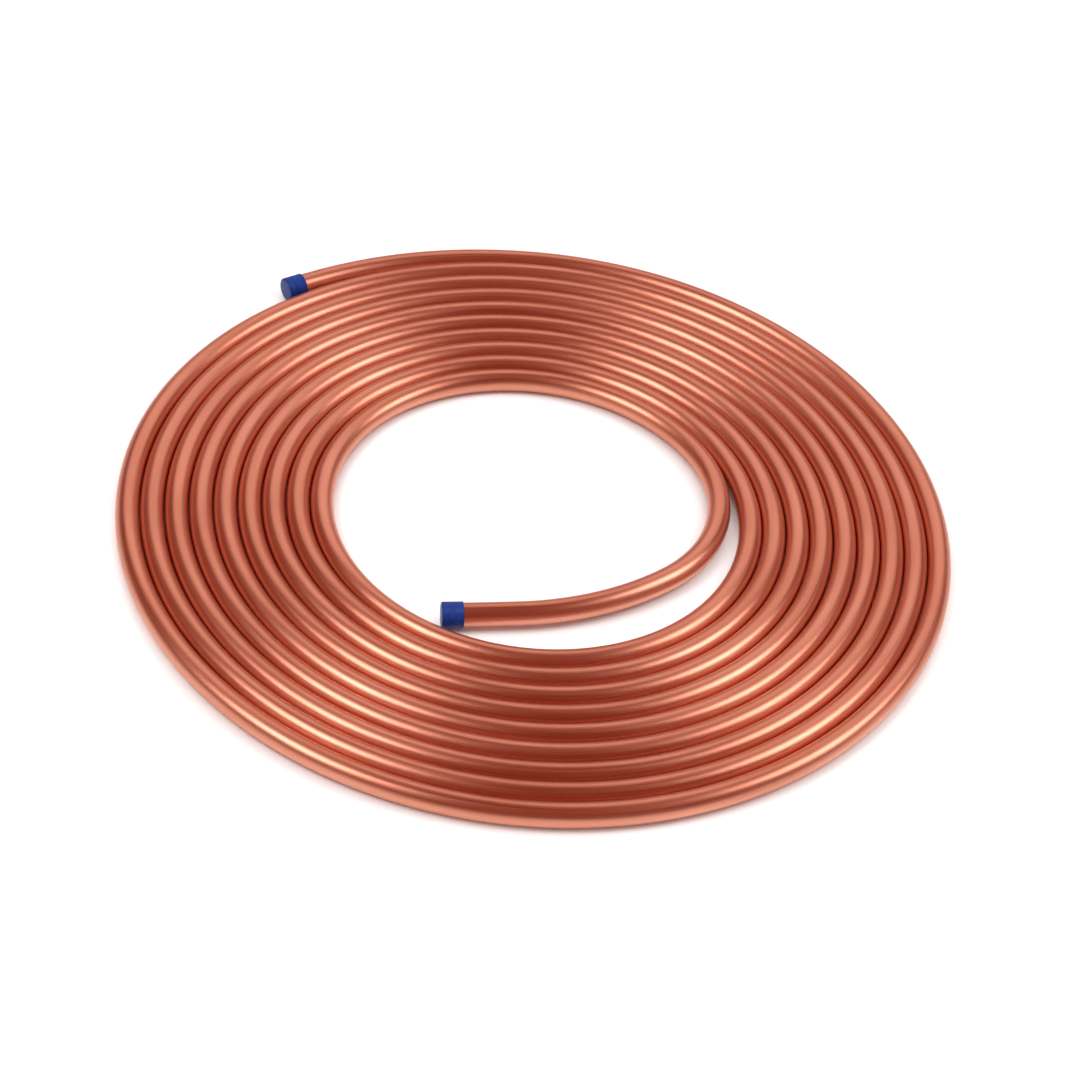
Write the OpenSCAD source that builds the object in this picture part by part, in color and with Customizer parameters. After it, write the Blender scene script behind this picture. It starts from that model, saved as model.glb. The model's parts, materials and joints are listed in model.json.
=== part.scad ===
// Coil of soft copper tube in one flat layer, with a push-on cap over each end.
// Millimetres. Z up; the coil lies on z = 0 with its middle on the Z axis.
// The tube winds clockwise inward, from the back left to the open eye.

/* [Tube] */

// Outside diameter of the tube
tube_od = 19.05; // [12:0.01:23]

// Wall thickness of the tube
tube_wall = 1.0; // [0.6:0.1:2]

/* [Winding] */

// Outside size of the coil, front to back
coil_size = 690; // [570:1:830]

// Gap between one turn and the next
turn_gap = 0.35; // [0.2:0.05:3]

// Turns, counted at the sides
turns = 9; // [3:1:9]

/* [Outer end] */

// How much wider the outer end bends than the outermost turn
outer_widening = 15; // [8:1:100]

// Angle that the outer end runs on for
outer_sweep = 36.5; // [25:0.5:50]

// Length of the nearly straight stretch at its tip
outer_tip = 28; // [22:1:60]

// Least height of its cap above the floor
outer_lift = 0.35; // [0.1:0.05:3]

/* [Inner end] */

// Where the inner end leaves the innermost turn, in degrees from the right
inner_leave = 34; // [10:1:60]

// How much tighter its first bend is than the innermost turn
inner_tightening = 40.7; // [20:0.1:60]

// Angle of its first bend
inner_sweep = 81; // [60:1:95]

// How much wider its second bend is than the innermost turn
inner_widening = 74; // [20:1:150]

// Length of the nearly straight stretch at its tip
inner_tip = 60; // [22:1:100]

// Gap between its cap and the turn in front, which sets how far the second bend runs
inner_gap = 1.3; // [0.4:0.1:40]

// Least height of its cap above the floor
inner_lift = 2; // [0.1:0.05:4]

/* [End caps] */

// Wall of a cap
cap_wall = 0.9; // [0.6:0.1:2]

// Length of tube inside a cap
cap_grip = 15.5; // [8:0.5:20]

// Thickness of a cap's closed end
cap_end = 1.6; // [0.8:0.1:3]

// Clearance between tube and cap, per side
cap_clearance = 0.1; // [0.1:0.05:0.4]

/* [Hidden] */

$fn = 96;

copper = [0.72, 0.45, 0.33];
cap_blue = [0.10, 0.20, 0.55];

pitch = tube_od + turn_gap;
tube_id = tube_od - 2 * tube_wall;
axis_z = tube_od / 2;

// The turns are half-turns on two centres half a pitch apart: even ones at the back, odd ones
// at the front, each half a pitch smaller than the one before, so that they run on smoothly.
half_pitch = pitch / 2;
first_r = coil_size / 2 - axis_z + half_pitch / 2;
last_half = 2 * turns;
function half_r(k) = first_r - k * half_pitch;
function half_centre(k) = [k % 2 == 0 ? -half_pitch : 0, -half_pitch / 2];

// A free end is a chain of bends, each [radius, angle], from the back point of a half-turn.
tip_bend = 2000;
function tip_angle(length) = round(length / tip_bend * 18000 / PI) / 100;
outer_chain = [[half_r(0) + outer_widening, outer_sweep], [tip_bend, tip_angle(outer_tip)]];
function inner_bends(last_sweep) = [
    [half_r(last_half), 90 - inner_leave],
    [half_r(last_half) - inner_tightening, inner_sweep],
    [half_r(last_half) + inner_widening, last_sweep],
    [tip_bend, tip_angle(inner_tip)],
];

function out_along(angle) = [cos(angle), sin(angle)];

// Angle at which bend i of a chain starts; way is 1 to the left and -1 to the right.
function bend_start(chain, way, i) =
    i == 0 ? 90 : bend_start(chain, way, i - 1) + way * chain[i - 1][1];

// Centre of bend i, on the line from the last centre through the point where they meet.
function bend_centre(k, chain, way, i) =
    let (last_r = i == 0 ? half_r(k) : chain[i - 1][0],
         last_centre = i == 0 ? half_centre(k) : bend_centre(k, chain, way, i - 1))
    last_centre + (last_r - chain[i][0]) * out_along(bend_start(chain, way, i));

// Point on a chain's last bend, as far before its end as stated.
function near_end(k, chain, way, before) =
    let (last = len(chain) - 1,
         angle = bend_start(chain, way, last) + way * (chain[last][1] - before / tip_bend * 180 / PI))
    bend_centre(k, chain, way, last) + tip_bend * out_along(angle);

cap_id = tube_od + 2 * cap_clearance;
cap_od = cap_id + 2 * cap_wall;

// The inner end's second bend runs on until its cap is the stated gap from the turn in front.
function gap_in_front(last_sweep) =
    half_r(last_half - 1) - (tube_od + cap_od) / 2
    - norm(near_end(last_half, inner_bends(last_sweep), -1, -cap_clearance - cap_end)
           - half_centre(last_half - 1));
function settled_sweep(low, high, tries) =
    let (middle = (low + high) / 2)
    tries == 0 ? round(middle * 100) / 100
    : gap_in_front(middle) > inner_gap ? settled_sweep(middle, high, tries - 1)
    : settled_sweep(low, middle, tries - 1);
inner_chain = inner_bends(settled_sweep(1, 90, 16));

// Slope that holds a cap's rim off the floor, up to the next fifth of a percent.
function rise(k, chain, way, lift) =
    let (forward = half_centre(k).y + half_r(k) - near_end(k, chain, way, cap_grip).y)
    ceil(500 * (cap_clearance + cap_wall + lift) / forward) / 500;
outer_rise = rise(0, outer_chain, 1, outer_lift);
inner_rise = rise(last_half, inner_chain, -1, inner_lift);

// A move in two steps, hundredths of a millimetre first, so that no digit of it is lost
// and the bends meet exactly.
module place(v) {
    coarse = [for (x = v) round(x * 100) / 100];
    translate(coarse)
        translate(v - coarse)
            children();
}

module tube_section() {
    difference() {
        circle(d = tube_od);
        circle(d = tube_id);
    }
}

// Tube bent to a radius about a centre, from one angle on through another.
module bend(centre, r, start, angle) {
    place([centre.x, centre.y, axis_z])
        rotate_extrude(start = start, angle = angle)
            place([r, 0])
                tube_section();
}

// Tilts what follows about the tube's own line at the back point of a half-turn, so that
// it rises towards the front.
module rising(k, rise) {
    back_point = [half_centre(k).x, half_centre(k).y + half_r(k), axis_z];
    place(back_point)
        rotate([-asin(rise), 0, 0])
            place(-back_point)
                children();
}

module free_end(k, chain, way, rise) {
    rising(k, rise)
        for (i = [0 : len(chain) - 1]) {
            start = bend_start(chain, way, i);
            angle = chain[i][1];
            bend(bend_centre(k, chain, way, i), chain[i][0], way > 0 ? start : start - angle, angle);
        }
}

// One length of tube: the outer end, the half-turns from the outside in, the inner end.
module copper_tube() {
    color(copper)
    union() {
        free_end(0, outer_chain, 1, outer_rise);
        bend(half_centre(0), half_r(0), 0, 90);
        for (k = [1 : last_half - 1])
            bend(half_centre(k), half_r(k), k % 2 == 0 ? 0 : 180, 180);
        bend(half_centre(last_half), half_r(last_half), 90, 90);
        free_end(last_half, inner_chain, -1, inner_rise);
    }
}

// A cup along Z, closed at the top. The tube's end lies at z = 0.
module cap() {
    difference() {
        translate([0, 0, -cap_grip])
            cylinder(h = cap_grip + cap_clearance + cap_end, d = cap_od);
        translate([0, 0, -2 * cap_grip])
            cylinder(h = 2 * cap_grip + cap_clearance, d = cap_id);
    }
}

// A cap on a free end, in line with the tube at the middle of its grip.
module end_cap(k, chain, way, rise) {
    last = len(chain) - 1;
    to_middle = cap_grip / 2 / tip_bend * 180 / PI;
    angle = bend_start(chain, way, last) + way * (chain[last][1] - to_middle);
    centre = bend_centre(k, chain, way, last);
    color(cap_blue)
        rising(k, rise)
            translate([centre.x, centre.y, axis_z])
                rotate([0, 0, angle])
                    translate([tip_bend, 0, 0])
                        rotate([-90 * way, 0, 0])
                            translate([0, 0, cap_grip / 2])
                                cap();
}

module outer_end_cap() {
    end_cap(0, outer_chain, 1, outer_rise);
}

module inner_end_cap() {
    end_cap(last_half, inner_chain, -1, inner_rise);
}

copper_tube();
outer_end_cap();
inner_end_cap();
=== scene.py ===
"""A flat coil of soft copper tube with a blue cap pushed over each end, on a white floor."""

import json
import math

import bmesh
import bpy
from mathutils import Matrix, Quaternion, Vector


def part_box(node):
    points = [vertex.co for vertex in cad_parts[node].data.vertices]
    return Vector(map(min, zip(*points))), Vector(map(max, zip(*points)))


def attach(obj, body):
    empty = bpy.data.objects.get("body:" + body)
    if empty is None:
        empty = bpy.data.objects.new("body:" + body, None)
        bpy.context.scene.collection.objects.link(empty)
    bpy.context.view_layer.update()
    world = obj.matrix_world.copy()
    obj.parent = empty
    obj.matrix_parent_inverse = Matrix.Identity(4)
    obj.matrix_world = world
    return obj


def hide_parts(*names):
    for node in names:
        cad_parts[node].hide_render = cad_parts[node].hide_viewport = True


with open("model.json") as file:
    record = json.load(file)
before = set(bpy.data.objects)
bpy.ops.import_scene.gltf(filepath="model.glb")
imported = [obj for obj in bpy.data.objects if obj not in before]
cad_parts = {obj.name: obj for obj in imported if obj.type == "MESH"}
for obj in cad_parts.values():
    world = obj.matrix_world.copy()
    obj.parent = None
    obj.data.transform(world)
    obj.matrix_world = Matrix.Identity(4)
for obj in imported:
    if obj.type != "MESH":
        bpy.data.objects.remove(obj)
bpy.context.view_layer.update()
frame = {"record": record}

# ---- The tube ----------------------------------------------------------------------------
# One length of soft-drawn copper tube, 19 mm across, wound in a single flat layer and left
# bright. The winder lays it as half-turns on two centres, each half a turn's spacing smaller
# than the last; the two free ends spring away a little.

TUBE_OD = 0.01905
TUBE_WALL = 0.001
TURN_GAP = 0.00035
TURNS = 9
OUTER_WIDENING = 0.015
OUTER_SWEEP = 36.5
OUTER_TIP = 0.028
INNER_LEAVE = 34
INNER_TIGHTENING = 0.0407
INNER_SWEEP = 81
INNER_WIDENING = 0.074
INNER_TIP = 0.060
TIP_BEND = 2.0
OUTER_SKIN_SIDES = 30
OUTER_SKIN_STEP = 0.006
BORE_SIDES = 12
BORE_STEP = 0.015
WELD = 0.0003

tube_low, tube_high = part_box("copper_tube")
half_pitch = (TUBE_OD + TURN_GAP) / 2
first_radius = (tube_high[1] - tube_low[1] - TUBE_OD + half_pitch) / 2
last_half = 2 * TURNS
mouths = {mount["name"]: mount for mount in frame["record"]["mounts"]}


def half_radius(k):
    """The bend of the tube's centre line in half-turn k, counted from the outside."""
    return first_radius - k * half_pitch


def half_centre(k):
    """Half-turns at the back and at the front have their own centres, half a pitch apart."""
    return Vector((-half_pitch if k % 2 == 0 else 0, -half_pitch / 2, TUBE_OD / 2))


def sweep_bend(mesh, centre, radius, start, angle, run, skin):
    """Adds one bend of a skin. Each point notes its way along the tube and its place around."""
    diameter, sides, step = skin
    length = radius * math.radians(abs(angle))
    steps = max(1, round(length / step))
    arc = bmesh.new()
    along = arc.verts.layers.float_vector.new("along")
    ring = bmesh.ops.create_circle(
        arc,
        segments=sides,
        radius=diameter / 2,
        matrix=Matrix.Translation(centre)
        @ Matrix.Rotation(math.radians(start), 4, "Z")
        @ Matrix.Translation((radius, 0, 0))
        @ Matrix.Rotation(math.pi / 2, 4, "X"),
    )
    bmesh.ops.spin(
        arc,
        geom=ring["verts"] + arc.edges[:],
        cent=centre,
        axis=(0, 0, 1),
        angle=math.radians(angle),
        steps=steps,
    )
    # The rings come one after another, so a point's count says which ring it is on.
    for count, vert in enumerate(arc.verts):
        offset = vert.co - centre
        vert[along] = (
            run + length * (count // sides) / steps,
            (offset.xy.length - radius) * 2 / diameter,
            offset.z * 2 / diameter,
        )
    arc_data = bpy.data.meshes.new("arc")
    arc.to_mesh(arc_data)
    arc.free()
    mesh.from_mesh(arc_data)
    bpy.data.meshes.remove(arc_data)
    return run + length


def sweep_free_end(mesh, k, bends, way, run, mouth, skin):
    """Follows a free end's bends from the back of a half-turn, then tilts it up from there."""
    out = mouth["axis"]
    before = len(mesh.verts)
    centre = half_centre(k)
    last_radius = half_radius(k)
    angle = 90
    for radius, sweep in bends:
        turned = Vector((math.cos(math.radians(angle)), math.sin(math.radians(angle)), 0))
        centre = centre + (last_radius - radius) * turned
        run = sweep_bend(mesh, centre, radius, angle, way * sweep, run, skin)
        last_radius = radius
        angle += way * sweep
    bmesh.ops.rotate(
        mesh,
        verts=mesh.verts[before:],
        cent=half_centre(k) + Vector((0, half_radius(k), 0)),
        matrix=Matrix.Rotation(-math.atan2(out[2], -out[1]), 3, "X"),
    )


def wind_skin(mesh, skin):
    """Sweeps one skin of the whole tube, from the outer end in."""
    outer_mouth = mouths["outer_tube_end"]
    inner_mouth = mouths["inner_tube_end"]
    eye_radius = half_radius(last_half)
    outer_bends = (
        (half_radius(0) + OUTER_WIDENING, OUTER_SWEEP),
        (TIP_BEND, math.degrees(OUTER_TIP / TIP_BEND)),
    )
    sweep_free_end(mesh, 0, outer_bends, 1, 0, outer_mouth, skin)

    run = sweep_bend(mesh, half_centre(0), half_radius(0), 90, -90, 0, skin)
    for k in range(1, last_half):
        start = 0 if k % 2 else 180
        run = sweep_bend(mesh, half_centre(k), half_radius(k), start, -180, run, skin)
    run = sweep_bend(mesh, half_centre(last_half), eye_radius, 180, -90, run, skin)

    # The second bend runs on until the tube points the way that its end does.
    tip_sweep = math.degrees(INNER_TIP / TIP_BEND)
    heading = math.degrees(math.atan2(inner_mouth["axis"][0], -inner_mouth["axis"][1]))
    inner_bends = (
        (eye_radius, 90 - INNER_LEAVE),
        (eye_radius - INNER_TIGHTENING, INNER_SWEEP),
        (eye_radius + INNER_WIDENING, INNER_LEAVE - INNER_SWEEP - heading - tip_sweep),
        (TIP_BEND, tip_sweep),
    )
    sweep_free_end(mesh, last_half, inner_bends, -1, run, inner_mouth, skin)


tube_mesh = bmesh.new()
tube_mesh.verts.layers.float_vector.new("along")
wind_skin(tube_mesh, (TUBE_OD, OUTER_SKIN_SIDES, OUTER_SKIN_STEP))
wind_skin(tube_mesh, (TUBE_OD - 2 * TUBE_WALL, BORE_SIDES, BORE_STEP))
bmesh.ops.remove_doubles(tube_mesh, verts=tube_mesh.verts, dist=WELD)

# The outer end is in the back half of the coil and the inner end in the front half.
open_edges = [edge for edge in tube_mesh.edges if edge.is_boundary]
for side in (1, -1):
    rims = [edge for edge in open_edges if edge.verts[0].co.y * side > 0]
    bmesh.ops.bridge_loops(tube_mesh, edges=rims)
bmesh.ops.recalc_face_normals(tube_mesh, faces=tube_mesh.faces)
for face in tube_mesh.faces:
    face.smooth = True
tube_data = bpy.data.meshes.new("wound_tube")
tube_mesh.to_mesh(tube_data)
tube_mesh.free()
wound_tube = bpy.data.objects.new("wound_tube", tube_data)
bpy.context.collection.objects.link(wound_tube)

copper = bpy.data.materials.new("bright_copper")
copper.use_nodes = True
nodes, links = copper.node_tree.nodes, copper.node_tree.links
copper_shader = nodes["Principled BSDF"]
copper_shader.inputs["Metallic"].default_value = 1
copper_shader.inputs["Anisotropic"].default_value = 0.35
copper_shader.inputs["Anisotropic Rotation"].default_value = 0.25

grain = nodes.new("ShaderNodeTangent")
grain.direction_type = "RADIAL"
grain.axis = "Z"
links.new(grain.outputs["Tangent"], copper_shader.inputs["Tangent"])

place = nodes.new("ShaderNodeAttribute")
place.attribute_name = "along"

# Die lines run far along the tube and are narrow around it.
draw_lines = nodes.new("ShaderNodeMapping")
draw_lines.inputs["Scale"].default_value = (2.5, 5, 5)
links.new(place.outputs["Vector"], draw_lines.inputs["Vector"])
line_noise = nodes.new("ShaderNodeTexNoise")
line_noise.inputs["Scale"].default_value = 2
line_noise.inputs["Detail"].default_value = 5
line_noise.inputs["Roughness"].default_value = 0.65
links.new(draw_lines.outputs["Vector"], line_noise.inputs["Vector"])
line_sheen = nodes.new("ShaderNodeMapRange")
line_sheen.inputs["From Min"].default_value = 0.3
line_sheen.inputs["From Max"].default_value = 0.7
line_sheen.inputs["To Min"].default_value = 0.3
line_sheen.inputs["To Max"].default_value = 0.42
links.new(line_noise.outputs["Fac"], line_sheen.inputs["Value"])
links.new(line_sheen.outputs["Result"], copper_shader.inputs["Roughness"])

# Handling and air have dulled the metal in soft patches.
tarnish_place = nodes.new("ShaderNodeMapping")
tarnish_place.inputs["Scale"].default_value = (9, 0.8, 0.8)
links.new(place.outputs["Vector"], tarnish_place.inputs["Vector"])
tarnish_noise = nodes.new("ShaderNodeTexNoise")
tarnish_noise.inputs["Scale"].default_value = 1
tarnish_noise.inputs["Detail"].default_value = 4
links.new(tarnish_place.outputs["Vector"], tarnish_noise.inputs["Vector"])
tarnish = nodes.new("ShaderNodeValToRGB")
tarnish.color_ramp.elements[0].position = 0.36
tarnish.color_ramp.elements[0].color = (0.64, 0.245, 0.155, 1)
tarnish.color_ramp.elements[1].position = 0.64
tarnish.color_ramp.elements[1].color = (0.81, 0.37, 0.255, 1)
shade = nodes.new("ShaderNodeMix")
shade.inputs["Factor"].default_value = 0.45
links.new(tarnish_noise.outputs["Fac"], shade.inputs["A"])
links.new(line_noise.outputs["Fac"], shade.inputs["B"])
links.new(shade.outputs["Result"], tarnish.inputs["Fac"])
links.new(tarnish.outputs["Color"], copper_shader.inputs["Base Color"])

line_bump = nodes.new("ShaderNodeBump")
line_bump.inputs["Strength"].default_value = 0.03
line_bump.inputs["Distance"].default_value = 0.0002
links.new(line_noise.outputs["Fac"], line_bump.inputs["Height"])
links.new(line_bump.outputs["Normal"], copper_shader.inputs["Normal"])

tube_data.materials.append(copper)
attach(wound_tube, "root")
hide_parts("copper_tube")

# ---- The end caps ------------------------------------------------------------------------
# Blue polyethylene cups, moulded in one piece with a small bead at the rim and a rounded
# closed end, and pushed over the tube's ends by hand to keep dirt out.

CAP_WALL = 0.0009
CAP_GRIP = 0.0155
CAP_END = 0.0016
CAP_CLEARANCE = 0.0001
CAP_BEAD = 0.0012
CAP_RELIEF = 0.00015
CAP_ROUNDING = 0.0012
CAP_EDGE = 0.0003
CAP_FILLET = 0.0004
CAP_STEPS = 96
CAP_SOFT_ANGLE = 35

cap_plastic = bpy.data.materials.new("blue_polyethylene")
cap_plastic.use_nodes = True
nodes, links = cap_plastic.node_tree.nodes, cap_plastic.node_tree.links
cap_shader = nodes["Principled BSDF"]
cap_place = nodes.new("ShaderNodeTexCoord")
cap_noise = nodes.new("ShaderNodeTexNoise")
cap_noise.inputs["Scale"].default_value = 260
cap_noise.inputs["Detail"].default_value = 3
links.new(cap_place.outputs["Object"], cap_noise.inputs["Vector"])
cap_tone = nodes.new("ShaderNodeValToRGB")
cap_tone.color_ramp.elements[0].position = 0.3
cap_tone.color_ramp.elements[0].color = (0.002, 0.022, 0.16, 1)
cap_tone.color_ramp.elements[1].position = 0.7
cap_tone.color_ramp.elements[1].color = (0.005, 0.038, 0.225, 1)
links.new(cap_noise.outputs["Fac"], cap_tone.inputs["Fac"])
links.new(cap_tone.outputs["Color"], cap_shader.inputs["Base Color"])
cap_shader.inputs["Roughness"].default_value = 0.42
cap_shader.inputs["Specular IOR Level"].default_value = 0.3
cap_shader.inputs["Subsurface Weight"].default_value = 0.08
cap_shader.inputs["Subsurface Radius"].default_value = (0.0002, 0.0004, 0.0012)
cap_grain = nodes.new("ShaderNodeBump")
cap_grain.inputs["Strength"].default_value = 0.12
cap_grain.inputs["Distance"].default_value = 0.0002
links.new(cap_noise.outputs["Fac"], cap_grain.inputs["Height"])
links.new(cap_grain.outputs["Normal"], cap_shader.inputs["Normal"])

cap_bore_r = TUBE_OD / 2 + CAP_CLEARANCE
cap_outer_r = cap_bore_r + CAP_WALL
cap_relieved_r = cap_outer_r - CAP_RELIEF
cap_top = CAP_CLEARANCE + CAP_END

# Half of the cup cut through its middle, from the inside of its closed end round to the outside.
cap_profile = (
    (0, CAP_CLEARANCE),
    (cap_bore_r - CAP_FILLET, CAP_CLEARANCE),
    (cap_bore_r, CAP_CLEARANCE - CAP_FILLET),
    (cap_bore_r, -CAP_GRIP + CAP_EDGE),
    (cap_bore_r + CAP_EDGE, -CAP_GRIP),
    (cap_outer_r - CAP_EDGE, -CAP_GRIP),
    (cap_outer_r, -CAP_GRIP + CAP_EDGE),
    (cap_outer_r, -CAP_GRIP + CAP_BEAD - CAP_EDGE),
    (cap_relieved_r, -CAP_GRIP + CAP_BEAD),
    (cap_relieved_r, cap_top - CAP_ROUNDING),
    (cap_relieved_r - CAP_ROUNDING * 0.1, cap_top - CAP_ROUNDING * 0.55),
    (cap_relieved_r - CAP_ROUNDING * 0.3, cap_top - CAP_ROUNDING * 0.3),
    (cap_relieved_r - CAP_ROUNDING * 0.6, cap_top - CAP_ROUNDING * 0.08),
    (cap_relieved_r - CAP_ROUNDING, cap_top),
    (0, cap_top),
)
for end in ("outer", "inner"):
    mouth = mouths[end + "_tube_end"]
    cap_mesh = bmesh.new()
    rail = [cap_mesh.verts.new((radius, 0, height)) for radius, height in cap_profile]
    edges = [cap_mesh.edges.new(pair) for pair in zip(rail, rail[1:])]
    bmesh.ops.spin(
        cap_mesh,
        geom=rail + edges,
        cent=(0, 0, 0),
        axis=(0, 0, 1),
        angle=math.tau,
        steps=CAP_STEPS,
        use_merge=True,
    )
    bmesh.ops.remove_doubles(cap_mesh, verts=cap_mesh.verts, dist=0.000001)
    turn = Vector(mouth["axis"]).to_track_quat("Z", "Y").to_matrix().to_4x4()
    cap_mesh.transform(Matrix.Translation(mouth["pos_m"]) @ turn)
    bmesh.ops.recalc_face_normals(cap_mesh, faces=cap_mesh.faces)
    for face in cap_mesh.faces:
        face.smooth = True
    for edge in cap_mesh.edges:
        edge.smooth = edge.calc_face_angle(0) < math.radians(CAP_SOFT_ANGLE)
    cap_data = bpy.data.meshes.new(end + "_cap")
    cap_mesh.to_mesh(cap_data)
    cap_mesh.free()
    cap_data.materials.append(cap_plastic)
    cap = bpy.data.objects.new(end + "_cap", cap_data)
    bpy.context.collection.objects.link(cap)
    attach(cap, "root")
    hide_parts(end + "_end_cap")

# ---- The floor ---------------------------------------------------------------------------
# A plain white studio surface, wide enough to run out of every view and smooth enough to
# carry a faint reflection of the coil.

FLOOR_SIZE = 30.0

floor_mesh = bmesh.new()
bmesh.ops.create_grid(floor_mesh, x_segments=1, y_segments=1, size=FLOOR_SIZE / 2)
floor_data = bpy.data.meshes.new("floor")
floor_mesh.to_mesh(floor_data)
floor_mesh.free()
floor = bpy.data.objects.new("floor", floor_data)
bpy.context.collection.objects.link(floor)
floor_paint = bpy.data.materials.new("floor_white")
floor_paint.use_nodes = True
floor_shader = floor_paint.node_tree.nodes["Principled BSDF"]
floor_shader.inputs["Base Color"].default_value = (0.92, 0.92, 0.92, 1)
floor_shader.inputs["Roughness"].default_value = 0.14
floor_data.materials.append(floor_paint)

# ---- Light -------------------------------------------------------------------------------
# Two softboxes, high on the right and on the left towards the front, a pale panel beyond the
# coil, and two fills that whiten the floor, one of them an even skylight. The room is pale low
# down and dim and warm above.

SKYLIGHT_STRENGTH = 2.0
SKYLIGHT_COLOUR = (0.8, 0.98, 1.0)
SKYLIGHT_SPREAD = 70
LAMP_DISTANCE = 3
LAMPS = (
    ("right_softbox", (0.70, 0.05, 0.71), 1.3, 1.3, 28, True),
    ("left_softbox", (-0.54, -0.28, 0.79), 1.3, 1.3, 32, True),
    ("rear_panel", (0.0, 0.755, 0.656), 3.8, 1.9, 19.5, True),
    ("front_fill", (0.0, -0.85, 0.53), 3.0, 2.0, 16, False),
)

for name, direction, width, depth, watts, in_reflections in LAMPS:
    lamp_data = bpy.data.lights.new(name, "AREA")
    lamp_data.shape = "RECTANGLE"
    lamp_data.size = width
    lamp_data.size_y = depth
    lamp_data.energy = watts
    lamp = bpy.data.objects.new(name, lamp_data)
    lamp.location = Vector(direction).normalized() * LAMP_DISTANCE
    lamp.rotation_euler = Vector(direction).to_track_quat("Z", "Y").to_euler()
    lamp.visible_glossy = in_reflections
    bpy.context.collection.objects.link(lamp)

sky_data = bpy.data.lights.new("skylight", "SUN")
sky_data.energy = SKYLIGHT_STRENGTH
sky_data.color = SKYLIGHT_COLOUR
sky_data.angle = math.radians(SKYLIGHT_SPREAD)
skylight = bpy.data.objects.new("skylight", sky_data)
skylight.visible_glossy = False
bpy.context.collection.objects.link(skylight)

world = bpy.data.worlds.new("dim_room")
world.use_nodes = True
nodes, links = world.node_tree.nodes, world.node_tree.links
room_direction = nodes.new("ShaderNodeTexCoord")
room_height = nodes.new("ShaderNodeSeparateXYZ")
links.new(room_direction.outputs["Generated"], room_height.inputs["Vector"])
room_tone = nodes.new("ShaderNodeValToRGB")
room_tone.color_ramp.elements[0].position = 0.05
room_tone.color_ramp.elements[0].color = (0.95, 0.94, 0.93, 1)
room_tone.color_ramp.elements[1].position = 0.16
room_tone.color_ramp.elements[1].color = (0.255, 0.042, 0.015, 1)
links.new(room_height.outputs["Z"], room_tone.inputs["Fac"])
links.new(room_tone.outputs["Color"], nodes["Background"].inputs["Color"])
bpy.context.scene.world = world
bpy.context.scene.view_settings.view_transform = "Standard"

# ---- Camera ------------------------------------------------------------------------------
# In front of the coil, looking down at about 41 degrees, and turned a little about its own
# line of sight.

CAMERA_AT = Vector((-0.0049, -1.5345, 1.3580))
CAMERA_AIM = Vector((0.0051, -0.0421, 0.0095))
CAMERA_ROLL = 6.81
LENS_MM = 83.16

camera_data = bpy.data.cameras.new("camera")
camera_data.lens = LENS_MM
camera_data.sensor_width = 36
camera = bpy.data.objects.new("camera", camera_data)
camera.location = CAMERA_AT
level = (CAMERA_AIM - CAMERA_AT).to_track_quat("-Z", "Y")
roll = Quaternion((0, 0, 1), math.radians(CAMERA_ROLL))
camera.rotation_euler = (level @ roll).to_euler()
bpy.context.collection.objects.link(camera)
bpy.context.scene.camera = camera
